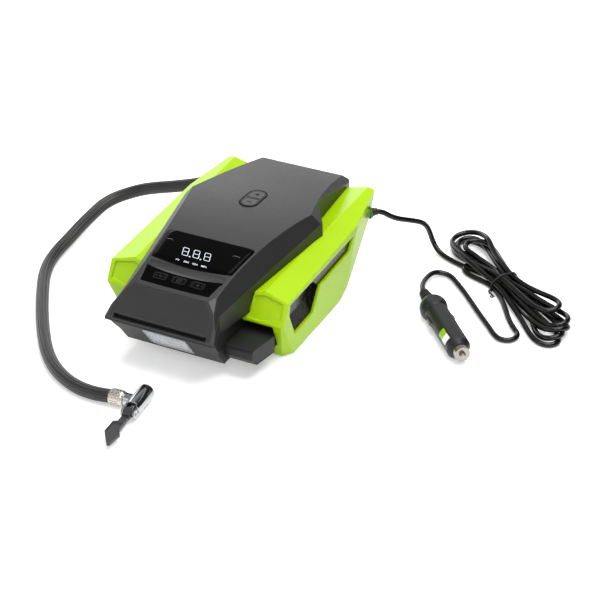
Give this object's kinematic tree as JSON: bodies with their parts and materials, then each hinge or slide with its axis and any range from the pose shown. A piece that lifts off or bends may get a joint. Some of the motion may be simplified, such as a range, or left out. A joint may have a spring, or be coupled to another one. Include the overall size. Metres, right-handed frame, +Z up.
{
  "type": "portable tyre inflator",
  "caption": "Arched compressor body between two side pods, with display, keys, work light, air hose with lever chuck, and a 12 V lead with plug.",
  "frame": {"origin": "middle of the body's footprint, on the surface it stands on", "axes": "+Z up, +Y to the rear along the body, +X to the right seen from the front"},
  "size_m": [0.4732, 0.4461, 0.0889],
  "materials": {
    "black_shell": "fine matt texture, moulded ABS",
    "panel_black": "satin moulded ABS",
    "green_shell": "satin green ABS",
    "liner_black": "matt black",
    "window_gloss": "glossy dark acrylic",
    "key_gloss": "glossy black",
    "button_satin": "satin black",
    "board_green": "solder-masked circuit board",
    "lens_clear": "clear polycarbonate",
    "reflector": "metallised plastic",
    "led_white": "white board with LEDs",
    "cast_alloy": "die-cast",
    "steel": "zinc-plated steel",
    "copper_rotor": "wound armature",
    "brass": "machined brass",
    "nylon": "natural nylon",
    "seal_rubber": "rubber",
    "hose_rubber": "ribbed rubber hose",
    "gland_green": "dark green plastic",
    "ferrule": "nickel plated, knurled",
    "chrome": "polished chrome plate",
    "lever_grey": "dark grey nylon",
    "cord_black": "soft PVC",
    "plug_black": "moulded phenolic plastic",
    "nickel": "nickel plated brass",
    "lamp_green": "translucent green"
  },
  "bodies": {
    "inflator": {"top_cover": "black_shell", "front_panel": "panel_black", "base_shell": "black_shell", "pod_left": "green_shell", "pod_right": "green_shell", "liner_left": "liner_black", "liner_right": "liner_black", "accessory_box": "black_shell", "display_window": "window_gloss", "display_module": "liner_black", "key_strip": "window_gloss", "pill_bezel": "key_gloss", "button_board": "board_green", "main_board": "board_green", "light_lens": "lens_clear", "light_reflector": "reflector", "led_board": "led_white", "pump_frame": "cast_alloy", "motor_can": "steel", "motor_end_cap": "nylon", "gear_axle": "steel", "pump_cylinder": "cast_alloy", "cylinder_head": "cast_alloy", "air_pipe": "seal_rubber", "hose_gland": "gland_green", "air_hose": "hose_rubber", "hose_ferrule": "ferrule", "chuck_body": "chrome", "lever_pin": "steel", "chuck_seal": "seal_rubber", "cord_grommet": "gland_green", "cord_near": "cord_black", "cord_hank": "cord_black", "hank_tie": "cord_black", "cord_far": "cord_black", "plug_relief": "cord_black", "plug_body": "plug_black", "plug_ring": "nickel", "pin_spring": "steel", "plug_fuse": "nickel", "plug_lamp": "lamp_green", "housing_screws": "steel", "rubber_feet": "seal_rubber"},
    "key_minus": {"key_minus": "key_gloss"},
    "key_mode": {"key_mode": "key_gloss"},
    "key_plus": {"key_plus": "key_gloss"},
    "plus_button": {"plus_button": "button_satin"},
    "minus_button": {"minus_button": "button_satin"},
    "rotor": {"rotor": "copper_rotor", "cooling_fan": "nylon", "motor_pinion": "brass"},
    "drive_gear": {"drive_gear": "nylon"},
    "piston": {"piston_rod": "nylon", "piston_ring": "seal_rubber"},
    "chuck_lever": {"chuck_lever": "lever_grey"},
    "chuck_plunger": {"chuck_plunger": "brass"},
    "plug_pin": {"plug_pin": "nickel"},
    "contact_left": {"contact_left": "nickel"},
    "contact_right": {"contact_right": "nickel"}
  },
  "joints": [
    {"name": "key_minus_press", "type": "slide", "parent": "inflator", "child": "key_minus", "axis": [0, 0.2278, -0.9737], "range_m": [0, 0.0008], "stiffness_N_per_m": 900},
    {"name": "key_mode_press", "type": "slide", "parent": "inflator", "child": "key_mode", "axis": [0, 0.2278, -0.9737], "range_m": [0, 0.0008], "stiffness_N_per_m": 900},
    {"name": "key_plus_press", "type": "slide", "parent": "inflator", "child": "key_plus", "axis": [0, 0.2278, -0.9737], "range_m": [0, 0.0008], "stiffness_N_per_m": 900},
    {"name": "plus_button_press", "type": "slide", "parent": "inflator", "child": "plus_button", "axis": [0, -0.0404, -0.9992], "range_m": [0, 0.0012], "stiffness_N_per_m": 900},
    {"name": "minus_button_press", "type": "slide", "parent": "inflator", "child": "minus_button", "axis": [0, -0.0404, -0.9992], "range_m": [0, 0.0012], "stiffness_N_per_m": 900},
    {"name": "rotor_spin", "type": "hinge", "parent": "inflator", "child": "rotor", "pos_m": [0, 0.07, 0.05], "axis": [1, 0, 0], "continuous": true},
    {"name": "gear_spin", "type": "hinge", "parent": "inflator", "child": "drive_gear", "pos_m": [0, 0.04, 0.05], "axis": [1, 0, 0], "continuous": true},
    {"name": "piston_stroke", "type": "slide", "parent": "inflator", "child": "piston", "axis": [0, -1, 0], "range_m": [0, 0.018]},
    {"name": "lever_turn", "type": "hinge", "parent": "inflator", "child": "chuck_lever", "pos_m": [0.00802, -0.20343, 0.0076], "axis": [-0.9962, -0.0872, 0], "range_deg": [0, 90]},
    {"name": "plunger_slide", "type": "slide", "parent": "inflator", "child": "chuck_plunger", "axis": [-0.0872, 0.9962, 0], "range_m": [0, 0.001]},
    {"name": "plug_pin_press", "type": "slide", "parent": "inflator", "child": "plug_pin", "axis": [-0.6574, 0.7536, 0], "range_m": [0, 0.0014], "stiffness_N_per_m": 800, "deforming": ["pin_spring"]},
    {"name": "contact_left_press", "type": "slide", "parent": "inflator", "child": "contact_left", "axis": [-0.7536, -0.6574, 0], "range_m": [0, 0.0014], "stiffness_N_per_m": 800},
    {"name": "contact_right_press", "type": "slide", "parent": "inflator", "child": "contact_right", "axis": [0.7536, 0.6574, 0], "range_m": [0, 0.0014], "stiffness_N_per_m": 800}
  ],
  "couplings": [
    {"joint": "gear_spin", "follows": "rotor_spin", "ratio": -0.2},
    {"joint": "plunger_slide", "follows": "lever_turn", "m_per_rad": 0.00063662}
  ]
}
